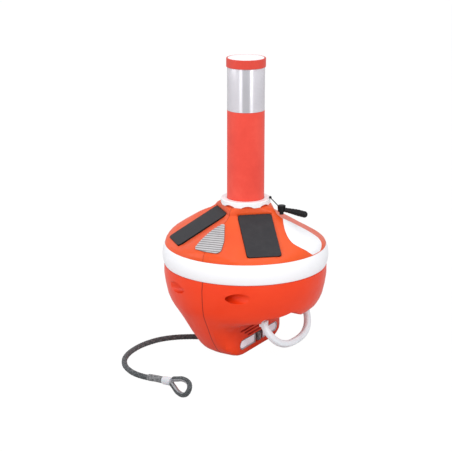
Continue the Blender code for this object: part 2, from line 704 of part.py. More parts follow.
def build_handle():
    hoop = add("handle_hoop", handle_bar(), WHITE, Matrix.Translation((HINGE_X, 0, HINGE_Z)))
    for sign in (-1, 1):
        at = (HINGE_X, sign * HINGE_Y, HINGE_Z)
        boolean(hoop, hide(add("barrel", rod("barrel", BARREL_R, 2 * BARREL_HALF, "Y", at, 28))), "UNION")
        low = (HINGE_X - 0.0015, at[1] - BARREL_HALF + 0.0002, HINGE_Z - KNUCKLE_DROP)
        high = (HINGE_X + KNUCKLE_OUT, at[1] + BARREL_HALF - 0.0002, HINGE_Z + 0.0001)
        boolean(hoop, hide(add("knuckle", block("knuckle", low, high))), "UNION")
        at = (HINGE_X, sign * (HINGE_Y - 0.0120), HINGE_Z)
        boolean(hoop, hide(add("bore", rod("bore", 0.0033, 0.0330, "Y", at, 16))))
    for name, sign in (("near", -1), ("far", 1)):
        pin_at = (HINGE_X, sign * (HINGE_Y - 0.0070), HINGE_Z)
        add(f"handle_pin_{name}", rod(f"handle_pin_{name}", 0.0030, 0.0200, "Y", pin_at, 16), STEEL)
        inside = sign * (HINGE_Y - BARREL_HALF - 0.0005)
        reach = sorted((inside, inside - sign * 0.0050))
        low = (HINGE_X - 0.0070, reach[0], HINGE_Z - 0.0060)
        high = (HINGE_X + 0.0070, reach[1], BRACKET_TOP)
        bracket = add(f"hinge_bracket_{name}", block(f"hinge_bracket_{name}", low, high), ORANGE)
        hole = rod("bracket_bore", 0.0033, 0.05, "Y", pin_at, 16)
        boolean(bracket, hide(add(f"bracket_bore_{name}", hole)))


BRACKET_TOP = 0.0915

# ------------------------------------------------------------------ tether
LOCK_AT = (0.0730, 0.0014, 0.2654)         # middle of the cord lock's barrel
LOCK_TALL, PLUNGER_TALL = 0.0118, 0.0046
TAB_R = 0.0058                             # radius of the pull tab at its far end
TAB_LINE = [
    (0.0812, 0.0014, 0.2636), (0.0898, 0.0014, 0.2633), (0.1048, 0.0014, 0.2622), (0.1150, 0.0014, 0.2612),
    (0.1246, 0.0014, 0.2605),
]


def build_tether():
    """Black cord from a knot on the collar to a cord lock on the dome, with its pull tab."""
    knot = (0.0462, 0.0080, 0.2805)
    shape = bmesh.new()
    bmesh.ops.create_uvsphere(shape, u_segments=12, v_segments=8, radius=0.0026)
    bmesh.ops.translate(shape, vec=knot, verts=shape.verts)
    mesh = bpy.data.meshes.new("tether_knot")
    shape.to_mesh(mesh)
    shape.free()
    add("tether_knot", mesh, BLACK)
    line = through([(0.0484, 0.0074, 0.2787), (0.0568, 0.0055, 0.2737), (0.0645, 0.0036, 0.2688)], 0.003)
    curve_tube("tether_cord", line, 0.0009, 2, BLACK)
    add("cord_lock", rod("cord_lock", 0.0066, LOCK_TALL, "Z", LOCK_AT, 20, 0.0074), BLACK)
    x, y, z = LOCK_AT
    plunger = (x, y, z - LOCK_TALL / 2 - GAP - PLUNGER_TALL / 2)
    add("lock_plunger", rod("lock_plunger", 0.0038, PLUNGER_TALL, "Z", plunger, 16), BLACK)
    tab = through(TAB_LINE, 0.006)
    shares = [0.72 + 0.28 * eased(1.6 * k / (len(tab) - 1)) for k in range(len(tab))]
    curve_tube("pull_tab", tab, TAB_R, 3, BLACK, shares)


# ------------------------------------------------------------------ rope on the floor
ROPE_ROUTE = [
    (-0.0290, -0.0080, 0.0200), (-0.0400, -0.0110, 0.0150), (-0.0560, -0.0175, 0.0085), (-0.0740, -0.0265, 0.0054),
    (-0.0930, -0.0370, 0.0052), (-0.1110, -0.0500, 0.0052), (-0.1245, -0.0640, 0.0052), (-0.1345, -0.0790, 0.0052),
    (-0.1415, -0.0970, 0.0052), (-0.1460, -0.1190, 0.0052), (-0.1465, -0.1420, 0.0052), (-0.1428, -0.1690, 0.0052),
    (-0.1318, -0.1978, 0.0052), (-0.1136, -0.2220, 0.0052), (-0.0940, -0.2370, 0.0052), (-0.0760, -0.2450, 0.0052),
    (-0.0600, -0.2480, 0.0052), (-0.0470, -0.2487, 0.0054),
]
SPLICE = [(-0.0455, -0.2489, 0.0064), (-0.0296, -0.2512, 0.0084), (-0.0110, -0.2556, 0.0106)]
FERRULE = [(-0.0102, -0.2558, 0.0108), (0.0000, -0.2590, 0.0126), (0.0096, -0.2622, 0.0142)]
EYE_AT, EYE_ALONG, EYE_ACROSS = (0.0120, -0.2632, 0.0158), (0.918, -0.392, 0.0), (0.10, 0.45, 0.90)
EYE_R = 0.0042
EYE_LINE = [
    (0.0, 0.0046), (0.010, 0.0078), (0.022, 0.0118), (0.037, 0.0126), (0.0465, 0.0086), (0.0500, 0.0),
    (0.0465, -0.0086), (0.037, -0.0126), (0.022, -0.0118), (0.010, -0.0078), (0.0, -0.0046),
]
THIMBLE_WIDE, THIMBLE_THICK = 0.0090, 0.0014


def eye_frame():
    """Frame of the eye: X along it, Y across it, Z out of its plane."""
    along = Vector(EYE_ALONG).normalized()
    across = Vector(EYE_ACROSS)
    across = (across - along * along.dot(across)).normalized()
    return Matrix.Translation(EYE_AT) @ Matrix((along, across, along.cross(across))).transposed().to_4x4()


def inward(points, offset):
    """Points of the eye's line moved towards its inside."""
    moved = []
    for before, here, after in zip(points, points[1:], points[2:]):
        way = (after - before).normalized()
        moved.append(here + Vector((way.y, -way.x, 0)) * offset)
    return moved


def build_rope():
    curve_tube("rope", through(ROPE_ROUTE, 0.0120), ROPE_R, 2, ROPE)
    curve_tube("rope_splice", through(SPLICE, 0.006), 0.0062, 2, ROPE)
    curve_tube("rope_ferrule", through(FERRULE, 0.006), 0.0072, 3, WHITE)
    frame = eye_frame()
    line = through([(x, y, 0) for x, y in EYE_LINE], 0.0045)
    curve_tube("rope_eye", [frame @ spot for spot in line], EYE_R, 2, ROPE)
    outer = [(0.0040, 0.0, 0.0)] + inward(line, EYE_R + GAP)[2:-2]
    inner = inward(line, EYE_R + GAP + THIMBLE_THICK)
    inner = [(0.0085, 0.0, 0.0)] + [spot for spot in inner[3:-3]]
    curve = outline_curve("thimble", [(p[0], p[1]) for p in outer], THIMBLE_WIDE)
    hole = curve.splines.new("POLY")
    hole.points.add(len(inner) - 1)
    for spot, place in zip(hole.points, inner):
        spot.co = (place[0], place[1], 0, 1)
    hole.use_cyclic_u = True
    add("thimble", curve, STEEL, frame)


def main():
    clear_scene()
    build_hull()
    build_belt()
    build_collar()
    build_mast()
    build_panels()
    under = hide(hull_solid("skin_underside", 0.0004))
    build_plate(under)
    build_window(under)
    build_drum()
    build_wall_trim()
    build_bight()
    build_bolts()
    build_handle()
    build_tether()
    build_rope()
    for item in parts.objects:
        if item.type == "MESH":
            smooth(item)


main()
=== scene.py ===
"""Looks of the lighted marker buoy: orange hull, white belt, foam mast, dark panels and braided rope."""
import json
import math

import bmesh
import bpy
from mathutils import Matrix, Vector

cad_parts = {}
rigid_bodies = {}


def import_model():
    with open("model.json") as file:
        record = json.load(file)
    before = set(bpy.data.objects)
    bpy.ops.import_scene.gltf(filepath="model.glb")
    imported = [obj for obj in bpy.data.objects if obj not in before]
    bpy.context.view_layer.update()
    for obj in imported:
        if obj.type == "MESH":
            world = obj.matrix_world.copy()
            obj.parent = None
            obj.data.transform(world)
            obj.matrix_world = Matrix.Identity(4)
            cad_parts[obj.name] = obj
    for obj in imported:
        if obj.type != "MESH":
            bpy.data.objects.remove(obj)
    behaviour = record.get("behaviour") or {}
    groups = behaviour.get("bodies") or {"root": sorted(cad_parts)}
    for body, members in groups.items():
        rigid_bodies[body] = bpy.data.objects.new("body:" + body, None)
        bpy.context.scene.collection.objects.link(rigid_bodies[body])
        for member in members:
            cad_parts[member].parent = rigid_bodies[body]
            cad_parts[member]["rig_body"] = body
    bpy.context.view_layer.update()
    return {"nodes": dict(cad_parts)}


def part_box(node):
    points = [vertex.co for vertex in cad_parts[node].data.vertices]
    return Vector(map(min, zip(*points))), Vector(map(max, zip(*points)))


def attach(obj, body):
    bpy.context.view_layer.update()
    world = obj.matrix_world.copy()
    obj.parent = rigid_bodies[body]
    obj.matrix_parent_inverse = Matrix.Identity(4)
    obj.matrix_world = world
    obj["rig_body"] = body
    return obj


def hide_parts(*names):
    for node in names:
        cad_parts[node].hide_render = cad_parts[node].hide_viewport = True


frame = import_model()
MAST_BODY, HULL_BODY, DRUM_BODY = "mast", "hull", "drum"
WELD = 0.000002    # points closer together than this are one point

# ------------------------------------------------------------------ camera
LENS, SENSOR = 119.5, 36.0    # millimetres
CAMERA_AT, CAMERA_BACK = (1.3118, -2.2425, 0.9607), (0.49687, -0.82368, 0.27329)


def place_camera():
    """A long lens from the front and a little above, with the handle on the right."""
    eye = bpy.data.cameras.new("camera")
    eye.lens, eye.sensor_width = LENS, SENSOR
    eye.clip_start, eye.clip_end = 0.1, 30.0
    camera = bpy.data.objects.new("camera", eye)
    bpy.context.scene.collection.objects.link(camera)
    back = Vector(CAMERA_BACK).normalized()
    right = Vector((0, 0, 1)).cross(back).normalized()
    turn = Matrix((right, back.cross(right), back)).transposed().to_4x4()
    camera.matrix_world = Matrix.Translation(CAMERA_AT) @ turn
    bpy.context.scene.camera = camera


# ------------------------------------------------------------------ node helpers
class Finish:
    """A material being put together from nodes on Object coordinates."""

    def __init__(self, name, color, roughness, metallic=0.0):
        self.material = bpy.data.materials.new(name)
        self.material.use_nodes = True
        self.tree = self.material.node_tree
        self.shader = self.tree.nodes["Principled BSDF"]
        self.shader.inputs["Base Color"].default_value = (*color, 1)
        self.shader.inputs["Roughness"].default_value = roughness
        self.shader.inputs["Metallic"].default_value = metallic
        self.place = self.node("ShaderNodeTexCoord").outputs["Object"]
        self.height = None

    def node(self, kind, **values):
        made = self.tree.nodes.new(kind)
        for key, value in values.items():
            setattr(made, key, value)
        return made

    def link(self, source, target):
        self.tree.links.new(source, target)

    def feed(self, socket, value):
        """A link where value is a socket, a plain value otherwise."""
        if isinstance(value, bpy.types.NodeSocket):
            self.link(value, socket)
        else:
            socket.default_value = value

    def math(self, operation, a, b=0.0):
        made = self.node("ShaderNodeMath", operation=operation)
        self.feed(made.inputs[0], a)
        self.feed(made.inputs[1], b)
        return made.outputs[0]

    def vector(self, operation, a, b=(0, 0, 0)):
        """A vector operation's node, whose output is Vector or, for a length or a dot product, Value."""
        made = self.node("ShaderNodeVectorMath", operation=operation)
        self.feed(made.inputs[0], a)
        self.feed(made.inputs[1], b)
        return made

    def parts(self, vector):
        """The x, y and z of a vector."""
        made = self.node("ShaderNodeSeparateXYZ")
        self.link(vector, made.inputs[0])
        return made.outputs

    def scaled(self, scale):
        """Object coordinates, each multiplied by its own number, which stretches a pattern."""
        made = self.node("ShaderNodeMapping")
        self.link(self.place, made.inputs["Vector"])
        made.inputs["Scale"].default_value = scale
        return made.outputs[0]

    def noise(self, scale, detail=3.0, rough=0.55, place=None):
        made = self.node("ShaderNodeTexNoise")
        self.link(place or self.place, made.inputs["Vector"])
        made.inputs["Scale"].default_value = scale
        made.inputs["Detail"].default_value = detail
        made.inputs["Roughness"].default_value = rough
        return made.outputs["Fac"]

    def cells(self, scale, feature="F1"):
        """The distance to the middle of the nearest cell."""
        made = self.node("ShaderNodeTexVoronoi", feature=feature)
        self.link(self.place, made.inputs["Vector"])
        made.inputs["Scale"].default_value = scale
        return made.outputs["Distance"]

    def ramp(self, value, stops):
        """A value turned into colours, given as (value, colour) stops."""
        made = self.node("ShaderNodeValToRGB")
        self.feed(made.inputs[0], value)
        points = made.color_ramp.elements
        while len(points) < len(stops):
            points.new(1.0)
        for point, (at, color) in zip(points, stops):
            point.position = at
            point.color = (*color, 1)
        return made.outputs[0]

    def span(self, value, low, high, out_low=0.0, out_high=1.0):
        """A value from low to high turned into one from out_low to out_high, and held at both ends."""
        made = self.node("ShaderNodeMapRange")
        self.feed(made.inputs["Value"], value)
        for key, number in (("From Min", low), ("From Max", high), ("To Min", out_low), ("To Max", out_high)):
            made.inputs[key].default_value = number
        return made.outputs[0]

    def mix(self, share, a, b):
        """Colour a where share is 0 and colour b where it is 1."""
        made = self.node("ShaderNodeMix", data_type="RGBA")
        self.feed(made.inputs[0], share)
        for socket, value in ((made.inputs[6], a), (made.inputs[7], b)):
            self.feed(socket, (*value, 1) if isinstance(value, tuple) else value)
        return made.outputs[2]

    def color(self, value):
        self.link(value, self.shader.inputs["Base Color"])

    def rough(self, value):
        self.link(value, self.shader.inputs["Roughness"])

    def bump(self, height, strength, distance):
        """Adds a layer of relief on top of those before it."""
        made = self.node("ShaderNodeBump")
        made.inputs["Strength"].default_value = strength
        made.inputs["Distance"].default_value = distance
        self.link(height, made.inputs["Height"])
        if self.height is not None:
            self.link(self.height, made.inputs["Normal"])
        self.height = made.outputs[0]
        self.link(self.height, self.shader.inputs["Normal"])

    def set(self, **values):
        """Shader inputs by name, with _ for a space."""
        for key, value in values.items():
            self.shader.inputs[key.replace("_", " ")].default_value = value


# ------------------------------------------------------------------ plastics and foam
BOWL_TOP, DOME_FOOT = 0.165, 0.185    # heights between which the bowl's colour gives way to the painted sheen tone above it
SEAM_PALE = 0.200                      # height from which the parting line is palest
SEAM_HALF, SEAM_EDGE = 0.00055, 0.00125    # half widths of the dark parting line and of its soft edge


def moulded_orange():
    """Satin orange shell plastic: redder on the bowl, more yellow-orange above it as painted sheen from
    above, with a dark parting line at x = 0.
    """
    f = Finish("moulded_orange", (0.88, 0.060, 0.014), 0.40)
    flow = f.noise(6.0, 4.0, 0.6, f.scaled((1, 1, 2.2)))
    across, _, up = f.parts(f.place)
    bowl = f.ramp(flow, [
        (0.30, (0.820, 0.040, 0.004)),
        (0.52, (0.860, 0.048, 0.005)),
        (0.75, (0.885, 0.060, 0.008)),
    ])
    # painted sheen: above the bowl the orange shifts to a yellower tone that stands in for sheen from above
    dome_sheen_tone = f.ramp(flow, [
        (0.30, (0.770, 0.076, 0.011)),
        (0.52, (0.800, 0.088, 0.013)),
        (0.75, (0.825, 0.102, 0.017)),
    ])
    tone = f.mix(f.span(up, BOWL_TOP, DOME_FOOT), bowl, dome_sheen_tone)
    grime = f.span(f.noise(38.0, 5.0, 0.65), 0.60, 0.80, 0.0, 0.14)
    tone = f.mix(grime, tone, (0.74, 0.035, 0.007))
    seam = f.span(f.math("ABSOLUTE", across), SEAM_HALF, SEAM_EDGE, 1.0, 0.0)
    depth = f.span(up, BOWL_TOP, SEAM_PALE, 0.66, 0.30)
    f.color(f.mix(f.math("MULTIPLY", seam, depth), tone, (0.16, 0.006, 0.003)))
    f.rough(f.span(f.noise(85.0, 4.0, 0.6), 0.3, 0.75, 0.34, 0.48))
    f.bump(f.noise(9.0, 2.0), 0.08, 0.004)
    f.bump(f.noise(1500.0, 2.0, 0.7), 0.10, 0.0003)
    f.set(Specular_IOR_Level=0.30, Coat_Weight=0.02, Coat_Roughness=0.25)
    f.set(Sheen_Weight=0.10, Sheen_Roughness=0.35)
    return f.material


def foam_skin(name="foam_skin", deep=1.0):
    """Matt red foam with a soft closed-cell skin, darker at a lower `deep`."""
    f = Finish(name, (0.84 * deep, 0.072 * deep, 0.040 * deep), 0.72)
    patch = f.noise(22.0, 5.0, 0.62)
    tones = [(0.28, (0.76, 0.055, 0.032)), (0.50, (0.81, 0.067, 0.040)), (0.72, (0.85, 0.087, 0.054))]
    tone = f.ramp(patch, [(at, tuple(c * deep for c in tint)) for at, tint in tones])
    speck = f.span(f.cells(620.0), 0.0, 0.55, 0.10, 0.0)
    f.color(f.mix(speck, tone, (0.70 * deep, 0.050, 0.035)))
    f.rough(f.span(patch, 0.3, 0.7, 0.66, 0.80))
    f.bump(f.cells(520.0, "SMOOTH_F1"), 0.25, 0.0005)
    f.bump(f.noise(60.0, 4.0), 0.18, 0.0012)
    f.set(Specular_IOR_Level=0.30, Sheen_Weight=0.12, Sheen_Roughness=0.6)
    return f.material


def white_shell(name="white_shell", tint=(0.925, 0.925, 0.940)):
    """Clean plastic, white unless tinted, with faint yellowing and hairline scuffs."""
    f = Finish(name, tint, 0.34)
    warm = tuple(c * k for c, k in zip(tint, (1.0, 0.985, 0.955)))
    f.color(f.mix(f.span(f.noise(11.0, 4.0), 0.35, 0.75, 0.0, 0.55), tint, warm))
    scuff = f.noise(260.0, 3.0, 0.6, f.scaled((1, 1, 0.08)))
    f.rough(f.span(scuff, 0.35, 0.75, 0.28, 0.42))
    f.bump(f.noise(1300.0, 2.0, 0.7), 0.05, 0.0002)
    f.bump(f.noise(14.0, 2.0), 0.05, 0.002)
    f.set(Specular_IOR_Level=0.5, Sheen_Weight=0.22, Sheen_Roughness=0.4)
    return f.material


def handle_white():
    """The handle's softer, slightly translucent off-white."""
    f = Finish("handle_white", (0.82, 0.825, 0.85), 0.36)
    cloud = f.span(f.noise(18.0, 4.0), 0.3, 0.75, 0.0, 0.7)
    f.color(f.mix(cloud, (0.83, 0.865, 0.89), (0.76, 0.795, 0.82)))
    f.rough(f.span(f.noise(180.0, 3.0), 0.3, 0.75, 0.30, 0.46))
    f.bump(f.noise(900.0, 2.0, 0.7), 0.06, 0.0002)
    f.set(Specular_IOR_Level=0.5)
    f.set(Subsurface_Weight=0.25, Subsurface_Scale=0.006, Subsurface_Radius=(1, 1, 1))
    return f.material


def black_rubber():
    """Black overmoulded plastic and cord sheath."""
    f = Finish("black_rubber", (0.008, 0.008, 0.009), 0.46)
    f.color(f.ramp(f.noise(120.0, 4.0), [(0.3, (0.006, 0.006, 0.007)), (0.75, (0.013, 0.013, 0.014))]))
    f.rough(f.span(f.noise(300.0, 3.0), 0.3, 0.7, 0.34, 0.52))
    f.bump(f.noise(900.0, 2.0), 0.10, 0.0002)
    f.set(Specular_IOR_Level=0.18)
    return f.material


def shrink_white():
    """Milky heat-shrink tube over the rope's joint."""
    f = Finish("shrink_white", (0.64, 0.635, 0.66), 0.42)
    f.color(f.ramp(f.noise(130.0, 4.0), [(0.3, (0.56, 0.555, 0.58)), (0.7, (0.70, 0.695, 0.72))]))
    f.bump(f.noise(260.0, 3.0), 0.25, 0.0006)
    f.set(Subsurface_Weight=0.1, Subsurface_Scale=0.003)
    return f.material


def label_film():
    """Blank silvery-white label film in the keel's oblong window, with a faint painted glow that lifts it out
    of the shade under the bowl.
    """
    f = Finish("label_film", (0.96, 0.95, 0.98), 0.30)
    f.color(f.ramp(f.noise(90.0, 4.0), [(0.3, (0.94, 0.93, 0.97)), (0.7, (0.98, 0.97, 1.0))]))
    f.rough(f.span(f.noise(240.0, 2.0), 0.3, 0.7, 0.24, 0.40))
    f.bump(f.noise(500.0, 2.0), 0.05, 0.0002)
    # painted glow: a faint emission brightens the label where the bowl shades it
    f.set(Emission_Color=(0.90, 0.84, 1.0, 1.0), Emission_Strength=0.10)
    return f.material


# ------------------------------------------------------------------ panels and window
def charcoal_sheet():
    """Matt charcoal panel: a fine leather-like grain with a slight mottle."""
    f = Finish("charcoal_sheet", (0.034, 0.034, 0.037), 0.66)
    mottle = f.noise(70.0, 6.0, 0.68)
    f.color(f.ramp(mottle, [
        (0.25, (0.024, 0.024, 0.028)),
        (0.50, (0.033, 0.033, 0.036)),
        (0.78, (0.046, 0.045, 0.048)),
    ]))
    f.rough(f.span(mottle, 0.3, 0.7, 0.60, 0.76))
    f.bump(f.cells(1100.0), 0.22, 0.0003)
    f.bump(f.noise(240.0, 3.0), 0.10, 0.0004)
    f.set(Specular_IOR_Level=0.28)
    return f.material


def panel_side_shade():
    """The cut edge of a panel, painted near-black as shade along the panel's sides."""
    f = Finish("panel_side_shade", (0.010, 0.008, 0.008), 0.7)
    f.color(f.ramp(f.noise(300.0, 3.0), [(0.3, (0.007, 0.006, 0.006)), (0.7, (0.014, 0.012, 0.012))]))
    f.bump(f.noise(600.0, 2.0), 0.1, 0.0002)
    f.set(Specular_IOR_Level=0.15)
    return f.material


def ribbed_plastic(up, start, pitch):
    """Milky window plastic with a rib every pitch along up: pale crests, and painted shade in the grooves."""
    f = Finish("ribbed_plastic", (0.62, 0.615, 0.62), 0.32)
    along = f.vector("DOT_PRODUCT", f.place, tuple(up)).outputs["Value"]
    part = f.math("FRACT", f.math("DIVIDE", f.math("SUBTRACT", along, start), pitch))
    crest = f.math("SINE", f.math("MULTIPLY", part, math.pi))
    cloud = f.noise(55.0, 4.0)
    pale = f.ramp(cloud, [(0.3, (0.50, 0.490, 0.495)), (0.7, (0.62, 0.610, 0.615))])
    # painted shade: the grooves between the crests are darkened
    f.color(f.mix(f.span(crest, 0.30, 0.95), (0.20, 0.19, 0.19), pale))
    f.rough(f.span(cloud, 0.3, 0.7, 0.26, 0.40))
    f.bump(f.noise(700.0, 2.0), 0.06, 0.0002)
    f.set(IOR=1.49, Specular_IOR_Level=0.5)
    return f.material


def window_side_shade():
    """The cut edge of the window, painted dark grey as shade in the gap round it."""
    f = Finish("window_side_shade", (0.16, 0.13, 0.12), 0.5)
    f.color(f.ramp(f.noise(300.0, 3.0), [(0.3, (0.13, 0.10, 0.09)), (0.7, (0.20, 0.17, 0.16))]))
    return f.material


# ------------------------------------------------------------------ reflective film
DARK_BAND_OUT, DARK_BAND_SIDE = (0.515, -0.857, 0.0), (0.857, 0.515, 0.0)    # from the axis to the painted dark band, which faces the camera, and across it
DARK_BAND_HALF, DARK_BAND_EDGE = 0.0048, 0.0078    # half widths of the painted dark band and of its soft edge
GLINT_AT = 0.0096                        # how far each painted highlight strip is from the dark band's middle
GLINT_HALF, GLINT_EDGE = 0.0010, 0.0034


def hexagon_edge(f, place):
    """How near a place is to the edge of its hexagon, from 0 in the middle to 0.5, for hexagons 1 wide."""
    tall = math.sqrt(3)

    def from_middle(shift):
        """The way from the middle of the nearest rectangle of a grid, each rectangle 1 by tall."""
        wrapped = f.node("ShaderNodeVectorMath", operation="WRAP")
        f.link(f.vector("ADD", place, shift).outputs[0], wrapped.inputs[0])
        wrapped.inputs[1].default_value = (0.5, tall / 2, 1)
        wrapped.inputs[2].default_value = (-0.5, -tall / 2, -1)
        return wrapped.outputs[0]

    def length(way):
        return f.vector("LENGTH", way).outputs["Value"]

    first, second = from_middle((0, 0, 0)), from_middle((0.5, tall / 2, 0))
    pick = f.node("ShaderNodeMix", data_type="VECTOR")
    f.link(f.math("LESS_THAN", length(first), length(second)), pick.inputs[0])
    f.link(second, pick.inputs[4])
    f.link(first, pick.inputs[5])
    folded = f.vector("ABSOLUTE", pick.outputs[1]).outputs[0]
    slant = f.vector("DOT_PRODUCT", folded, (0.5, tall / 2, 0)).outputs["Value"]
    return f.math("MAXIMUM", slant, f.parts(folded)[0])


def honeycomb_film():
    """Reflective film: sealed hexagonal cells on the sleeve's own map, and a painted dark reflection band on
    the side facing the camera, edged by two pale strips of painted highlight.
    """
    f = Finish("honeycomb_film", (0.74, 0.73, 0.76), 0.26, 0.16)
    rim = f.span(hexagon_edge(f, f.node("ShaderNodeUVMap", uv_map="wrap").outputs[0]), 0.34, 0.46)
    across = f.math("ABSOLUTE", f.vector("DOT_PRODUCT", f.place, DARK_BAND_SIDE).outputs["Value"])
    faces = f.math("GREATER_THAN", f.vector("DOT_PRODUCT", f.place, DARK_BAND_OUT).outputs["Value"], 0.0)
    # painted reflection: a darker band on the side facing the camera stands in for the dark reflection
    # between two highlights
    painted_dark_band = f.math("MULTIPLY", f.span(across, DARK_BAND_HALF, DARK_BAND_EDGE, 1.0, 0.0), faces)
    # painted highlight: a pale strip on either side of the dark band stands in for the two vertical
    # highlights
    from_glint = f.math("ABSOLUTE", f.math("SUBTRACT", across, GLINT_AT))
    painted_glint = f.math("MULTIPLY", f.span(from_glint, GLINT_HALF, GLINT_EDGE, 0.75, 0.0), faces)
    walls = f.ramp(f.noise(16.0, 3.0), [(0.3, (0.70, 0.675, 0.71)), (0.7, (0.77, 0.745, 0.775))])
    heart = f.mix(painted_dark_band, f.mix(0.34, walls, (0.44, 0.43, 0.46)), (0.38, 0.375, 0.395))
    tone = f.mix(rim, heart, f.mix(painted_dark_band, walls, (0.62, 0.61, 0.64)))
    f.color(f.mix(painted_glint, tone, (0.96, 0.95, 0.98)))
    f.rough(f.span(rim, 0.0, 1.0, 0.20, 0.34))
    f.bump(rim, 0.20, 0.0004)
    f.set(Coat_Weight=0.8, Coat_Roughness=0.12, Specular_IOR_Level=0.6)
    f.set(Sheen_Weight=0.60, Sheen_Roughness=0.30)
    return f.material


# ------------------------------------------------------------------ steel and yarn
def brushed_steel(name, grain, tone, dull):
    """Steel with fine lines, which grain stretches, from roughness dull upwards."""
    f = Finish(name, (tone, tone, tone + 0.01), 0.26, 1.0)
    lines = f.noise(420.0, 3.0, 0.6, f.scaled(grain))
    low, high = tone * 0.87, tone * 1.13
    f.color(f.ramp(lines, [(0.3, (low, low, low + 0.01)), (0.7, (high, high, high + 0.01))]))
    f.rough(f.span(lines, 0.3, 0.7, dull, dull + 0.16))
    f.bump(lines, 0.08, 0.0002)
    return f.material


def yarn(name, dark, light):
    """Twisted synthetic yarn: fine fibres, each a little lighter or darker, with worn pale patches."""
    f = Finish(name, light, 0.72)
    fibre = f.noise(420.0, 3.0, 0.65)
    worn = f.span(f.noise(150.0, 3.0), 0.50, 0.70, 0.0, 0.35)
    f.color(f.mix(worn, f.ramp(fibre, [(0.30, dark), (0.70, light)]), tuple(c * 1.7 for c in light)))
    f.rough(f.span(fibre, 0.3, 0.7, 0.62, 0.82))
    f.bump(fibre, 0.20, 0.0002)
    f.set(Specular_IOR_Level=0.25, Sheen_Weight=0.15, Sheen_Roughness=0.5)
    return f.material


ORANGE, FOAM, WHITE, HANDLE = moulded_orange(), foam_skin(), white_shell(), handle_white()
CAP_FOAM = foam_skin("cap_skin", 0.87)
CHARCOAL, FILM = charcoal_sheet(), honeycomb_film()
PANEL_SIDE_SHADE, WINDOW_SIDE_SHADE = panel_side_shade(), window_side_shade()
STEEL, BLACK = brushed_steel("bright_steel", (1, 1, 14), 0.60, 0.20), black_rubber()
THIMBLE_STEEL = brushed_steel("thimble_steel", (1, 1, 1), 0.40, 0.42)
ROPE_YARN = yarn("rope_yarn", (0.035, 0.038, 0.040), (0.090, 0.098, 0.102))
FLECK_YARN = yarn("fleck_yarn", (0.065, 0.067, 0.069), (0.15, 0.154, 0.158))
SPLICE_YARN = yarn("splice_yarn", (0.11, 0.11, 0.112), (0.30, 0.30, 0.305))
SHRINK, LABEL = shrink_white(), label_film()
DRUM_GREY = white_shell("drum_grey", (0.34, 0.34, 0.35))


# ------------------------------------------------------------------ piece helpers
def own(name, shape, material, body, nodes=(), angle=32):
    """A finished bmesh as a piece on a body, standing for some nodes."""
    bmesh.ops.recalc_face_normals(shape, faces=shape.faces)
    mesh = bpy.data.meshes.new(name)
    shape.to_mesh(mesh)
    shape.free()
    mesh.materials.append(material)
    piece = bpy.data.objects.new(name, mesh)
    bpy.context.scene.collection.objects.link(piece)
    mesh.shade_smooth()
    mesh.set_sharp_from_angle(angle=math.radians(angle))
    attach(piece, body)
    if nodes:
        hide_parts(*nodes)
    return piece


def rounded(piece, width, segments, limit):
    """Rounds the edges that turn by more than limit degrees."""
    edges = piece.modifiers.new("edges", "BEVEL")
    edges.width, edges.segments, edges.limit_method = width, segments, "ANGLE"
    edges.angle_limit = math.radians(limit)


def second_finish(piece, material, faces):
    """Another material on some of a piece's faces, given by their indices."""
    piece.data.materials.append(material)
    for index in faces:
        piece.data.polygons[index].material_index = 1


def merged(node):
    """A node's mesh as a bmesh with its loose triangles joined."""
    shape = bmesh.new()
    shape.from_mesh(frame["nodes"][node].data)
    bmesh.ops.remove_doubles(shape, verts=shape.verts, dist=WELD)
    return shape


def dressed(node, material, bevel=0.0, segments=3, angle=32, name=None, limit=40):
    """A smoothly shaded stand-in for a node: flat neighbours as one face, and hard edges rounded."""
    body = frame["nodes"][node]["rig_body"]
    shape = merged(node)
    bmesh.ops.dissolve_limit(
        shape, angle_limit=math.radians(1.5), use_dissolve_boundaries=False,
        verts=shape.verts, edges=shape.edges,
    )
    piece = own(name or f"{node}_shown", shape, material, body, [node], angle)
    if bevel:
        rounded(piece, bevel, segments, limit)
    return piece


def joined(*shapes):
    """Several bmeshes as one."""
    whole = bmesh.new()
    for shape in shapes:
        mesh = bpy.data.meshes.new("part")
        shape.to_mesh(mesh)
        shape.free()
        whole.from_mesh(mesh)
        bpy.data.meshes.remove(mesh)
    return whole


# ------------------------------------------------------------------ lines, tubes and braids
def eased(t):
    """From 0 to 1 with a soft start and end."""
    t = min(1.0, max(0.0, t))
    return t * t * (3 - 2 * t)


def smooth_line(points, step):
    """Points every step along a smooth curve through the given ones."""
    knots = [Vector(p) for p in points]
    knots = [knots[0] * 2 - knots[1]] + knots + [knots[-1] * 2 - knots[-2]]
    fine, parts = [], 24
    for a, b, c, d in zip(knots, knots[1:], knots[2:], knots[3:]):
        for k in range(parts):
            t = k / parts
            bend = (2 * a - 5 * b + 4 * c - d) * t * t + (3 * b - a - 3 * c + d) * t ** 3
            fine.append(0.5 * (2 * b + (c - a) * t + bend))
    fine.append(knots[-2])
    return spaced(fine, step)


def spaced(fine, step):
    """The same line with its points evenly spaced."""
    length = length_of(fine)
    count = max(2, round(length / step))
    even, walked, goal = [fine[0]], 0.0, length / count
    for a, b in zip(fine, fine[1:]):
        piece = (b - a).length
        while walked + piece >= goal * len(even) and len(even) < count:
            even.append(a.lerp(b, (goal * len(even) - walked) / piece))
        walked += piece
    even.append(fine[-1])
    return even


def length_of(line):
    """The length of a line of points."""
    return sum((b - a).length for a, b in zip(line, line[1:]))


def carried_frames(line):
    """At each point of a line: the point, and two directions square to it that don't twist."""
    frames = []
    way = (line[1] - line[0]).normalized()
    side = way.cross(Vector((0, 0, 1)))
    side = side.normalized() if side.length > 1e-4 else Vector((1, 0, 0))
    for i, here in enumerate(line):
        new = (line[min(i + 1, len(line) - 1)] - line[max(i - 1, 0)]).normalized()
        side = way.rotation_difference(new) @ side
        side = (side - new * side.dot(new)).normalized()
        way = new
        frames.append((here, side, new.cross(side)))
    return frames


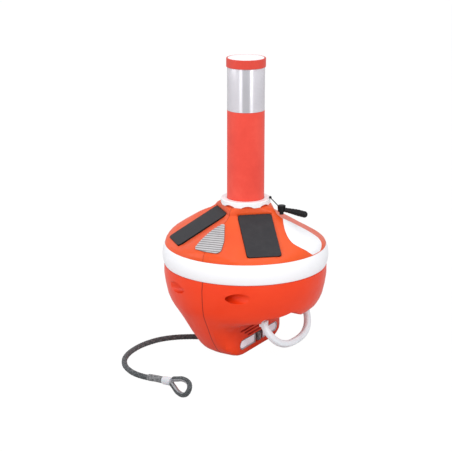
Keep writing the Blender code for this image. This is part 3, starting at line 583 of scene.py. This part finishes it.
def tube_mesh(lines, radius, resolution, name, cyclic=False):
    """Bevelled curves along lines, as one mesh."""
    curve = bpy.data.curves.new(name, "CURVE")
    curve.dimensions = "3D"
    curve.bevel_depth = radius
    curve.bevel_resolution = resolution
    curve.use_fill_caps = True
    for line in lines:
        track = curve.splines.new("POLY")
        track.points.add(len(line) - 1)
        for spot, place in zip(track.points, line):
            spot.co = (*place, 1)
        track.use_cyclic_u = cyclic
    holder = bpy.data.objects.new(name, curve)
    bpy.context.scene.collection.objects.link(holder)
    bpy.context.view_layer.update()
    mesh = bpy.data.meshes.new_from_object(holder.evaluated_get(bpy.context.evaluated_depsgraph_get()))
    bpy.data.objects.remove(holder)
    shape = bmesh.new()
    shape.from_mesh(mesh)
    bpy.data.meshes.remove(mesh)
    bmesh.ops.remove_doubles(shape, verts=shape.verts, dist=WELD)
    return shape


def braid_lines(line, radius, strands, pitch, lift, step):
    """Middle lines of a tubular braid's strands: half wind each way, over and under each other."""
    frames = carried_frames(spaced(line, step))
    made = []
    half = strands // 2
    for way in (1, -1):
        for k in range(half):
            track = []
            for i, (here, side, up) in enumerate(frames):
                wound = 2 * math.pi * i * step / pitch
                angle = way * wound + 2 * math.pi * k / half
                reach = radius + way * lift * math.sin(half * wound)
                track.append(here + side * (reach * math.cos(angle)) + up * (reach * math.sin(angle)))
            made.append(track)
    return made


STRAND_SHARE = 0.26    # a strand's radius over the rope's
ROUTE_STEP, CORE_STEP, STRAND_STEP = 0.0030, 0.0040, 0.0014


def braided_rope(name, route, radius, yarns, nodes, strands, pitch):
    """A braided rope along a route: a core under crossing strands, every fourth in the second yarn."""
    fat = radius * STRAND_SHARE
    line = smooth_line(route, ROUTE_STEP)
    core = tube_mesh([spaced(line, CORE_STEP)], radius - fat * 1.45, 3, "core")
    tracks = braid_lines(line, radius - fat * 1.25, strands, pitch, fat * 0.30, STRAND_STEP)
    plain = tube_mesh([track for i, track in enumerate(tracks) if i % 4], fat, 2, "strand")
    fleck = tube_mesh([track for i, track in enumerate(tracks) if i % 4 == 0], fat, 2, "fleck")
    count = len(core.faces) + len(plain.faces)
    piece = own(name, joined(core, plain, fleck), yarns[0], HULL_BODY, nodes, 60)
    second_finish(piece, yarns[1], range(count, len(piece.data.polygons)))
    return piece, line


def lofted(line, radii):
    """A round tube of changing radius along a line, closed at both ends."""
    shape = bmesh.new()
    rings, sides = [], 32
    turns = [2 * math.pi * k / sides for k in range(sides)]
    for (here, side, up), reach in zip(carried_frames(line), radii):
        ring = [shape.verts.new(here + (side * math.cos(a) + up * math.sin(a)) * reach) for a in turns]
        rings.append([shape.edges.new(pair) for pair in zip(ring, ring[1:] + ring[:1])])
    for low, high in zip(rings, rings[1:]):
        bmesh.ops.bridge_loops(shape, edges=low + high)
    bmesh.ops.holes_fill(shape, edges=rings[0] + rings[-1], sides=0)
    return shape


# ------------------------------------------------------------------ rope, first because its room is checked
ROPE_ROUTE = [
    (-0.0290, -0.0080, 0.0200), (-0.0400, -0.0110, 0.0150), (-0.0560, -0.0175, 0.0085),
    (-0.0740, -0.0265, 0.0054), (-0.0930, -0.0370, 0.0052), (-0.1110, -0.0500, 0.0052),
    (-0.1245, -0.0640, 0.0052), (-0.1345, -0.0790, 0.0052), (-0.1415, -0.0970, 0.0052),
    (-0.1460, -0.1190, 0.0052), (-0.1465, -0.1420, 0.0052), (-0.1428, -0.1690, 0.0052),
    (-0.1318, -0.1978, 0.0052), (-0.1136, -0.2220, 0.0052), (-0.0940, -0.2370, 0.0052),
    (-0.0760, -0.2450, 0.0052), (-0.0600, -0.2480, 0.0052), (-0.0470, -0.2487, 0.0054),
]
SPLICE = [(-0.0455, -0.2489, 0.0064), (-0.0296, -0.2512, 0.0084), (-0.0110, -0.2556, 0.0106)]
FERRULE = [(-0.0102, -0.2558, 0.0108), (0.0000, -0.2590, 0.0126), (0.0096, -0.2622, 0.0142)]
EYE_AT, EYE_ALONG, EYE_ACROSS = (0.0120, -0.2632, 0.0158), (0.918, -0.392, 0.0), (0.10, 0.45, 0.90)
EYE_LINE = [
    (0.0, 0.0046), (0.010, 0.0078), (0.022, 0.0118), (0.037, 0.0126), (0.0465, 0.0086), (0.0500, 0.0),
    (0.0465, -0.0086), (0.037, -0.0126), (0.022, -0.0118), (0.010, -0.0078), (0.0, -0.0046),
]
ROPE_R, SPLICE_R, EYE_R = 0.0050, 0.0062, 0.0042
ROPE_END_GAP = 0.0004    # between the window rope's ends and its node's
FERRULE_END_R, FERRULE_SWELL, FERRULE_WAVE = 0.0060, 0.0011, 0.00012
THIMBLE_WRAP, THIMBLE_LIP, THIMBLE_WALL = 0.0045, (0.0019, 0.0043), 0.0008    # the lip is (depth, half width)


def build_rope():
    """The rope on the floor, with its splice, sleeve, eye and thimble."""
    plain, pale = (ROPE_YARN, FLECK_YARN), (SPLICE_YARN, FLECK_YARN)
    rope, line = braided_rope("braided_rope", ROPE_ROUTE, ROPE_R, plain, ["rope"], 16, 0.030)
    splice, _ = braided_rope("whipped_splice", SPLICE, SPLICE_R, pale, ["rope_splice"], 20, 0.022)
    ferrule = build_ferrule()
    along = Vector(EYE_ALONG).normalized()
    across = Vector(EYE_ACROSS)
    across = (across - along * along.dot(across)).normalized()
    turn = Matrix((along, across, along.cross(across))).transposed().to_4x4()
    eye_frame = Matrix.Translation(EYE_AT) @ turn
    eye_route = [eye_frame @ Vector((x, y, 0)) for x, y in EYE_LINE]
    eye, _ = braided_rope("rope_round_thimble", eye_route, EYE_R, plain, ["rope_eye"], 12, 0.026)
    thimble = build_thimble(eye_frame)


def build_ferrule():
    """The heat-shrink sleeve: drawn in at its ends, and a little wavy between them."""
    line = smooth_line(FERRULE, 0.0010)
    radii = []
    for i in range(len(line)):
        t = i / (len(line) - 1)
        end = min(1.0, min(t, 1 - t) / 0.10)
        wave = FERRULE_WAVE * math.sin(9 * t * math.pi) * end
        radii.append(FERRULE_END_R + FERRULE_SWELL * math.sqrt(end) + wave)
    shape = lofted(line, radii)
    return own("shrink_ferrule", shape, SHRINK, HULL_BODY, ["rope_ferrule"], 40)


def build_thimble(eye_frame):
    """The steel channel that lines the eye: a U section with straight lips, carried round inside the rope."""
    line = smooth_line([(x, y, 0) for x, y in EYE_LINE], 0.0016)
    bends = [math.radians(degrees) for degrees in range(-60, 61, 12)]
    deep, half = THIMBLE_LIP
    section = [(THIMBLE_WRAP * math.cos(bend), THIMBLE_WRAP * math.sin(bend)) for bend in bends]
    section = [(deep, -half)] + section + [(deep, half)]
    shape = bmesh.new()
    rows = []
    for before, here, after in zip(line, line[1:], line[2:]):
        way = (after - before).normalized()
        inward = Vector((way.y, -way.x, 0))
        row = [shape.verts.new(eye_frame @ (here + inward * u + Vector((0, 0, v)))) for u, v in section]
        rows.append([shape.edges.new(pair) for pair in zip(row, row[1:])])
    for low, high in zip(rows, rows[1:]):
        bmesh.ops.bridge_loops(shape, edges=low + high)
    piece = own("thimble_channel", shape, THIMBLE_STEEL, HULL_BODY, ["thimble"], 50)
    wall = piece.modifiers.new("wall", "SOLIDIFY")
    wall.thickness, wall.offset = THIMBLE_WALL, 0.0
    return piece


# ------------------------------------------------------------------ hull and belt
def build_hull():
    """The shells, brackets, belt, collar, plates and panels, which keep the shapes of their nodes."""
    for node in ("hull_half_handle_side", "hull_half_rope_side"):
        dressed(node, ORANGE, bevel=0.0009, segments=2, angle=30, limit=38)
    for node in ("hinge_bracket_near", "hinge_bracket_far"):
        dressed(node, ORANGE, bevel=0.0012)
    dressed("belt", WHITE, bevel=0.0012)
    dressed("collar", WHITE, bevel=0.0006)
    dressed("sign_plate", WHITE, bevel=0.0004, segments=2, angle=30)
    for node in ("dark_panel_045", "dark_panel_315"):
        panel = dressed(node, CHARCOAL, bevel=0.0007)
        faces = panel.data.polygons
        face_up = max(faces, key=lambda face: face.area).normal.copy()
        sides = [face.index for face in faces if abs(face.normal.dot(face_up)) < 0.8]
        # painted shade: the panel's side faces get the near-black finish
        second_finish(panel, PANEL_SIDE_SHADE, sides)
    for node in ("label_plate_near", "label_plate_far"):
        dressed(node, LABEL, bevel=0.0003, segments=2)
    for node in ("window_bezel_near", "window_bezel_far"):
        dressed(node, STEEL, bevel=0.0007, segments=4)


WINDOW_SLOPE = math.radians(32)
RIB_NORMAL = Vector((-0.066, 0.278, 0.958))    # the ribs lie in planes square to this
RIBS, CUTS_A_RIB = 14, 8
RIB_TALL, RIB_SINK = 0.0010, 0.0004    # a crest above its groove, and the groove below the node's skin


def build_window():
    """The ribbed window: the node's skin cut across at close steps and raised into ribs."""
    out = Vector((0, -math.sin(WINDOW_SLOPE), math.cos(WINDOW_SLOPE)))
    shape = merged("ribbed_window")
    heights = [v.co.dot(RIB_NORMAL) for v in shape.verts]
    low, high = min(heights), max(heights)
    pitch = (high - low) / RIBS
    for k in range(1, RIBS * CUTS_A_RIB):
        whole = shape.verts[:] + shape.edges[:] + shape.faces[:]
        at = RIB_NORMAL * (low + k * pitch / CUTS_A_RIB)
        bmesh.ops.bisect_plane(shape, geom=whole, dist=0.00001, plane_co=at, plane_no=RIB_NORMAL)
    bmesh.ops.recalc_face_normals(shape, faces=shape.faces)
    for v in {v for face in shape.faces if face.normal.dot(out) > 0.55 for v in face.verts}:
        phase = ((v.co.dot(RIB_NORMAL) - low) / pitch) % 1.0
        v.co += out * (RIB_TALL * abs(math.sin(math.pi * phase)) ** 0.8 - RIB_SINK)
    bmesh.ops.recalc_face_normals(shape, faces=shape.faces)
    sides = [face.index for face in shape.faces if face.normal.dot(out) < 0.40]
    skin = ribbed_plastic(RIB_NORMAL, low, pitch)
    piece = own("window_ribs", shape, skin, HULL_BODY, ["ribbed_window"], 60)
    # painted shade: the window's side faces get the dark grey finish
    second_finish(piece, WINDOW_SIDE_SHADE, sides)


BOLT_R, SOCKET_RIM, SOCKET_DEEP = 0.0060, 0.0026, 0.0024


def build_bolts():
    """Screw heads at the bottom of the pockets, each with a round socket."""
    for node in ("seam_bolt_right_near", "seam_bolt_right_far", "seam_bolt_left_near", "seam_bolt_left_far"):
        low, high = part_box(node)
        middle = (low + high) / 2
        side = 1 if middle.x > 0 else -1
        shape = bmesh.new()
        bmesh.ops.create_cone(
            shape, cap_ends=True, segments=32, radius1=BOLT_R, radius2=BOLT_R, depth=high.x - low.x,
        )
        top = max(shape.faces, key=lambda face: face.calc_center_median().z)
        bmesh.ops.inset_individual(shape, faces=[top], thickness=SOCKET_RIM, depth=0.0)
        well = bmesh.ops.extrude_discrete_faces(shape, faces=[top])["faces"]
        bottom = list({v for face in well for v in face.verts})
        bmesh.ops.translate(shape, verts=bottom, vec=(0, 0, -SOCKET_DEEP))
        turn = Matrix.Rotation(side * math.pi / 2, 4, "Y")
        bmesh.ops.transform(shape, matrix=Matrix.Translation(middle) @ turn, verts=shape.verts)
        piece = own(f"{node}_head", shape, ORANGE, HULL_BODY, [node])
        rounded(piece, 0.0004, 2, 30)


GASKETS = (("seam_gasket_front", -0.0740), ("seam_gasket_back", 0.0600))    # names and lowest y
GASKET_THIN, GASKET_DEEP, GASKET_FOOT, GASKET_TOP = 0.0002, 0.0140, 0.0020, 0.2300


def build_gaskets():
    """Strips between the hull's halves, front and back, which keep daylight out of the parting gap."""
    for name, near in GASKETS:
        low = Vector((-GASKET_THIN / 2, near, GASKET_FOOT))
        high = Vector((GASKET_THIN / 2, near + GASKET_DEEP, GASKET_TOP))
        shape = bmesh.new()
        bmesh.ops.create_cube(shape, size=1.0)
        place = Matrix.Translation((low + high) / 2) @ Matrix.Diagonal(high - low).to_4x4()
        bmesh.ops.transform(shape, matrix=place, verts=shape.verts)
        own(name, shape, ORANGE, HULL_BODY)


# ------------------------------------------------------------------ mast
FILM_THICK, FILM_EDGE, FILM_EDGE_TALL = 0.0009, 0.0001, 0.0003    # the film's edges are slightly bevelled
FILM_SIDES, CELL = 144, 0.0027


def build_mast():
    """The foam mast and its cap, the white top, and the film round it."""
    dressed("mast_tube", FOAM, bevel=0.0010, segments=4)
    dressed("mast_cap", CAP_FOAM, bevel=0.0009, segments=4)
    dressed("lamp_lens", WHITE, bevel=0.0006)
    build_sleeve()


def build_sleeve():
    """The reflective film: a section spun round the mast's axis, with a map for its cells."""
    low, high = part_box("reflective_sleeve")
    outer = high.x
    inner, edge = outer - FILM_THICK, outer - FILM_EDGE
    corners = [
        (inner, low.z), (edge, low.z), (outer, low.z + FILM_EDGE_TALL),
        (outer, high.z - FILM_EDGE_TALL), (edge, high.z), (inner, high.z),
    ]
    shape = bmesh.new()
    ring = [shape.verts.new((r, 0, z)) for r, z in corners]
    edges = [shape.edges.new((a, b)) for a, b in zip(ring, ring[1:] + ring[:1])]
    bmesh.ops.spin(
        shape, geom=ring + edges, cent=(0, 0, 0), axis=(0, 0, 1), angle=2 * math.pi, steps=FILM_SIDES,
        use_merge=True,
    )
    bmesh.ops.remove_doubles(shape, verts=shape.verts, dist=0.000005)
    piece = own("honeycomb_sleeve", shape, FILM, MAST_BODY, ["reflective_sleeve"])
    wrap_map(piece.data, low.z, round(2 * math.pi * outer / CELL))


def wrap_map(mesh, foot, around):
    """A map in cells: a whole number of them around the axis, and so many up from the foot."""
    wrap = mesh.uv_layers.new(name="wrap")
    for face in mesh.polygons:
        spots = [mesh.vertices[corner].co for corner in face.vertices]
        turns = [math.atan2(spot.y, spot.x) / (2 * math.pi) for spot in spots]
        on_seam = max(turns) - min(turns) > 0.5
        for loop, spot, turn in zip(face.loop_indices, spots, turns):
            if on_seam and turn < 0:
                turn += 1.0
            wrap.data[loop].uv = (turn * around, (spot.z - foot) / CELL)


# ------------------------------------------------------------------ handle, drum, tether
def build_handle():
    """The swinging hoop and the two pins that it swings on."""
    dressed("handle_hoop", HANDLE, bevel=0.0008, segments=3, angle=40)
    for node in ("handle_pin_near", "handle_pin_far"):
        dressed(node, STEEL, bevel=0.0004, segments=2)


def build_drum():
    """The drum in the keel, and the rope on it."""
    dressed("drum_spool", DRUM_GREY, bevel=0.0006, segments=2)
    dressed("drum_axle", STEEL, bevel=0.0004, segments=2)
    build_wound_rope()
    build_window_rope()


def build_wound_rope():
    """Turns of rope side by side on the drum, over a core that is the node drawn in by the rope's radius."""
    low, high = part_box("wound_rope")
    centre, outer, wide = (low + high) / 2, (high.y - low.y) / 2, high.x - low.x
    reach, lanes, steps = outer - ROPE_R, int(wide / (2 * ROPE_R)), 60
    angles = [2 * math.pi * i / steps for i in range(steps)]
    turns = []
    for k in range(lanes):
        x = centre.x + (k - (lanes - 1) / 2) * wide / lanes
        turns.append([
            Vector((x, centre.y + reach * math.cos(a), centre.z + reach * math.sin(a))) for a in angles
        ])
    wound = tube_mesh(turns, ROPE_R * 0.98, 3, "turns", True)
    core = merged("wound_rope")
    for v in core.verts:
        flat = Vector((0, v.co.y - centre.y, v.co.z - centre.z))
        if flat.length > outer * 0.7:
            v.co -= flat.normalized() * ROPE_R
    own("wound_turns", joined(core, wound), ROPE_YARN, DRUM_BODY, ["wound_rope"], 50)


def build_window_rope():
    """The upright run of rope that shows in the mouth of the keel's oblong window."""
    low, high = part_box("rope_bight")
    middle = (low + high) / 2
    run = [(middle.x, middle.y, z) for z in (low.z + ROPE_END_GAP, middle.z, high.z - ROPE_END_GAP)]
    braided_rope("rope_in_window", run, ROPE_R, (SPLICE_YARN, FLECK_YARN), ["rope_bight"], 16, 0.026)


TAB_R, TAB_RIDGES, TAB_RIDGE = 0.0058, 7, 0.025    # the last is a ridge's height over the tab's radius
TAB_LINE = [
    (0.0812, 0.0014, 0.2636), (0.0898, 0.0014, 0.2633), (0.1048, 0.0014, 0.2622),
    (0.1150, 0.0014, 0.2612), (0.1246, 0.0014, 0.2605),
]


def build_tether():
    """The cord, its lock and the ridged pull tab, which widens from its foot and ends in a round tip."""
    dressed("tether_knot", BLACK, name="knot")
    dressed("tether_cord", BLACK, name="cord")
    dressed("cord_lock", BLACK, bevel=0.0012, segments=4)
    dressed("lock_plunger", BLACK, bevel=0.0008)
    line = smooth_line(TAB_LINE, 0.0012)
    radii = []
    for i in range(len(line)):
        t = i / (len(line) - 1)
        full = 0.72 + 0.28 * eased(1.6 * t)
        tip = min(1.0, (1 - t) / 0.13)
        ridge = TAB_RIDGE * math.sin(2 * TAB_RIDGES * math.pi * t) * min(1.0, t / 0.1)
        radii.append(TAB_R * (full * math.sqrt(max(0.02, 1 - (1 - tip) ** 2)) + ridge * tip))
    own("ridged_tab", lofted(line, radii), BLACK, HULL_BODY, ["pull_tab"], 60)


# ------------------------------------------------------------------ floor, sky and lamps
LAMPS = (    # name, place, aim, width, height, watts
    ("key", (1.6, -1.5, 1.9), (0, 0, 0.24), 1.3, 1.3, 15.5),
    ("fill", (-1.9, -1.6, 1.3), (0, 0, 0.22), 1.6, 1.6, 18.5),
    ("top", (0.0, 0.1, 2.2), (0, 0, 0.2), 1.4, 1.4, 8.5),
    ("strip_left", (-0.06, -1.15, 0.60), (0, 0, 0.45), 0.07, 1.1, 1.1),
    ("strip_right", (1.03, -0.53, 0.60), (0, 0, 0.45), 0.07, 1.1, 2.9),
)
FLOOR_HALF, FLOOR_GLOW, FLOOR_SHARE = 6.0, 1.06, 0.93
SKY_LIGHT = 0.74


def build_floor():
    """A floor that lights the object as matt white, and that the camera sees as nearly pure white."""
    shape = bmesh.new()
    bmesh.ops.create_grid(shape, x_segments=2, y_segments=2, size=FLOOR_HALF)
    mesh = bpy.data.meshes.new("floor")
    shape.to_mesh(mesh)
    shape.free()
    floor = bpy.data.objects.new("floor", mesh)
    bpy.context.scene.collection.objects.link(floor)
    f = Finish("floor_white", (0.60, 0.60, 0.60), 0.9)
    f.set(Specular_IOR_Level=0.0)
    glow = f.node("ShaderNodeEmission")
    glow.inputs["Strength"].default_value = FLOOR_GLOW
    rays = f.node("ShaderNodeLightPath")
    blend = f.node("ShaderNodeMixShader")
    f.link(f.math("MULTIPLY", rays.outputs["Is Camera Ray"], FLOOR_SHARE), blend.inputs[0])
    f.link(f.shader.outputs[0], blend.inputs[1])
    f.link(glow.outputs[0], blend.inputs[2])
    f.link(blend.outputs[0], f.tree.nodes["Material Output"].inputs[0])
    mesh.materials.append(f.material)


def build_sky():
    """A pale even sky, which the camera itself sees as white."""
    world = bpy.data.worlds.new("sky")
    bpy.context.scene.world = world
    world.use_nodes = True
    tree = world.node_tree
    sky = tree.nodes["Background"]
    sky.inputs["Color"].default_value = (0.95, 0.96, 1.0, 1)
    sky.inputs["Strength"].default_value = SKY_LIGHT
    seen = tree.nodes.new("ShaderNodeBackground")
    seen.inputs["Color"].default_value = (1, 1, 1, 1)
    rays = tree.nodes.new("ShaderNodeLightPath")
    both = tree.nodes.new("ShaderNodeMixShader")
    tree.links.new(rays.outputs["Is Camera Ray"], both.inputs[0])
    tree.links.new(sky.outputs[0], both.inputs[1])
    tree.links.new(seen.outputs[0], both.inputs[2])
    tree.links.new(both.outputs[0], tree.nodes["World Output"].inputs[0])


def build_lamps():
    """Soft area lamps, each turned to its aim."""
    for name, place, aim, wide, tall, power in LAMPS:
        lamp = bpy.data.lights.new(name, "AREA")
        lamp.shape, lamp.size, lamp.size_y, lamp.energy = "RECTANGLE", wide, tall, power
        item = bpy.data.objects.new(name, lamp)
        bpy.context.scene.collection.objects.link(item)
        item.location = place
        item.rotation_mode = "QUATERNION"
        item.rotation_quaternion = (Vector(place) - Vector(aim)).to_track_quat("Z", "Y")


place_camera()
build_rope()
build_hull()
build_window()
build_bolts()
build_gaskets()
build_mast()
build_handle()
build_drum()
build_tether()
build_floor()
build_sky()
build_lamps()
bpy.context.scene.view_settings.view_transform = "Standard"
bpy.context.view_layer.update()
